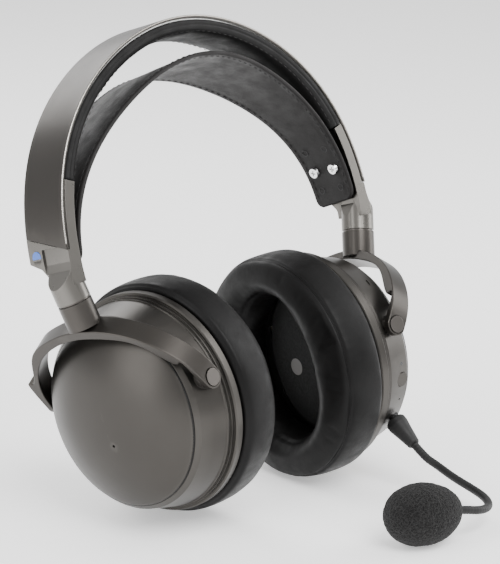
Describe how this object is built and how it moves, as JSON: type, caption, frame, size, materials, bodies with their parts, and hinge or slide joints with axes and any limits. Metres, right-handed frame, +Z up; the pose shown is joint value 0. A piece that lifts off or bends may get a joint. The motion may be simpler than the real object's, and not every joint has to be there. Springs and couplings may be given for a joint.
{
  "type": "headset with boom microphone",
  "caption": "Over-ear headset: sprung arch with end pieces, suspension strap, swivelling yokes, tilting round cups with soft pads, and an unpluggable gooseneck microphone.",
  "frame": {"origin": "centre of the bounding box on the plane that the left ear pad and the windscreen stand on", "axes": "+Z up through the arch's top, which leans back 18 degrees; -Y forwards, the way the microphone reaches; +X towards the wearer's left cup, which holds the microphone"},
  "size_m": [0.1946, 0.1822, 0.2165],
  "materials": {
    "gunmetal": "satin",
    "shell_metal": "satin",
    "satin_metal": "satin",
    "spring_steel": "brushed",
    "screw_chrome": "polished",
    "pin_steel": "satin",
    "pad_leatherette": "soft satin",
    "strap_leatherette": "soft satin",
    "liner_black": "matte",
    "black_plastic": "matte",
    "gray_plastic": "matte",
    "mesh_cloth": "woven",
    "foam_black": "porous foam",
    "black_rubber": "matte",
    "blue_mark": "gloss",
    "light_window": "translucent",
    "board_green": "satin",
    "cell_wrap": "satin",
    "brass": "satin",
    "nickel": "satin",
    "film": "gloss",
    "grille_black": "satin"
  },
  "bodies": {
    "headband": {"headband_skin": "gunmetal", "headband_spring": "spring_steel", "headband_liner": "liner_black", "link_cable": "black_rubber", "end_piece_left": "satin_metal", "end_piece_right": "satin_metal", "end_markers": "blue_mark", "suspension_strap": "strap_leatherette", "strap_plates": "gunmetal", "strap_screws": "screw_chrome", "swivel_pins": "pin_steel", "swivel_washers": "pin_steel"},
    "yoke_arm_left": {"yoke_left": "gunmetal", "swivel_bush_left": "black_plastic", "pivot_pins_left": "pin_steel"},
    "yoke_arm_right": {"yoke_right": "gunmetal", "swivel_bush_right": "black_plastic", "pivot_pins_right": "pin_steel"},
    "cup_left": {"cup_housing_left": "shell_metal", "cup_cover_left": "shell_metal", "cup_gasket_left": "black_rubber", "baffle_left": "black_plastic", "driver_frame_left": "black_plastic", "driver_magnets_left": "nickel", "diaphragm_left": "film", "driver_grille_left": "grille_black", "ear_pad_left": "pad_leatherette", "pad_ring_left": "black_plastic", "pad_cloth_left": "mesh_cloth", "pivot_bushes_left": "black_plastic", "cup_screws_left": "pin_steel", "side_disc_left": "gray_plastic", "circuit_board": "board_green", "led_window": "light_window", "mic_socket": "brass", "audio_jack": "brass", "usb_port": "nickel"},
    "cup_right": {"cup_housing_right": "shell_metal", "cup_cover_right": "shell_metal", "cup_gasket_right": "black_rubber", "baffle_right": "black_plastic", "driver_frame_right": "black_plastic", "driver_magnets_right": "nickel", "diaphragm_right": "film", "driver_grille_right": "grille_black", "ear_pad_right": "pad_leatherette", "pad_ring_right": "black_plastic", "pad_cloth_right": "mesh_cloth", "pivot_bushes_right": "black_plastic", "cup_screws_right": "pin_steel", "battery": "cell_wrap"},
    "button": {"power_button": "black_plastic"},
    "wheel": {"volume_wheel": "black_plastic"},
    "slider": {"mute_slider": "black_plastic"},
    "boom_mic": {"mic_boot": "black_rubber", "gooseneck": "black_rubber", "mic_capsule": "nickel"},
    "foam_cover": {"windscreen": "foam_black"}
  },
  "joints": [
    {"name": "swivel_left", "type": "hinge", "parent": "headband", "child": "yoke_arm_left", "pos_m": [0.0879, 0.03485, 0.10678], "axis": [-0.2436, -0.2997, -0.9224], "range_deg": [-15, 30]},
    {"name": "swivel_right", "type": "hinge", "parent": "headband", "child": "yoke_arm_right", "pos_m": [-0.0879, 0.03485, 0.10678], "axis": [-0.2436, 0.2997, 0.9224], "range_deg": [-15, 85]},
    {"name": "cup_tilt_left", "type": "hinge", "parent": "yoke_arm_left", "child": "cup_left", "pos_m": [0.0622, 0.02857, 0.06287], "axis": [0.0948, 0.9468, -0.3076], "range_deg": [-10.7, 11.3]},
    {"name": "cup_tilt_right", "type": "hinge", "parent": "yoke_arm_right", "child": "cup_right", "pos_m": [-0.0622, 0.02857, 0.06287], "axis": [0.0948, -0.9468, 0.3076], "range_deg": [-16.7, 5.3]},
    {"name": "button_press", "type": "slide", "parent": "cup_left", "child": "button", "axis": [0.0791, 0.994, 0.0759], "range_m": [0, 0.0006], "stiffness_N_per_m": 1200},
    {"name": "wheel_turn", "type": "hinge", "parent": "cup_left", "child": "wheel", "pos_m": [0.06867, 0.0544, 0.02769], "axis": [0.9952, -0.0831, 0.0509], "continuous": true},
    {"name": "slider_move", "type": "slide", "parent": "cup_left", "child": "slider", "axis": [-0.0608, -0.9375, -0.3426], "range_m": [0, 0.0028]},
    {"name": "boom_unplug", "type": "slide", "parent": "cup_left", "child": "boom_mic", "axis": [-0.0433, -0.845, -0.5331], "range_m": [0, 0.018]},
    {"name": "foam_pull_off", "type": "slide", "parent": "boom_mic", "child": "foam_cover", "axis": [-0.9397, 0.342, 0], "range_m": [0, 0.028]}
  ]
}
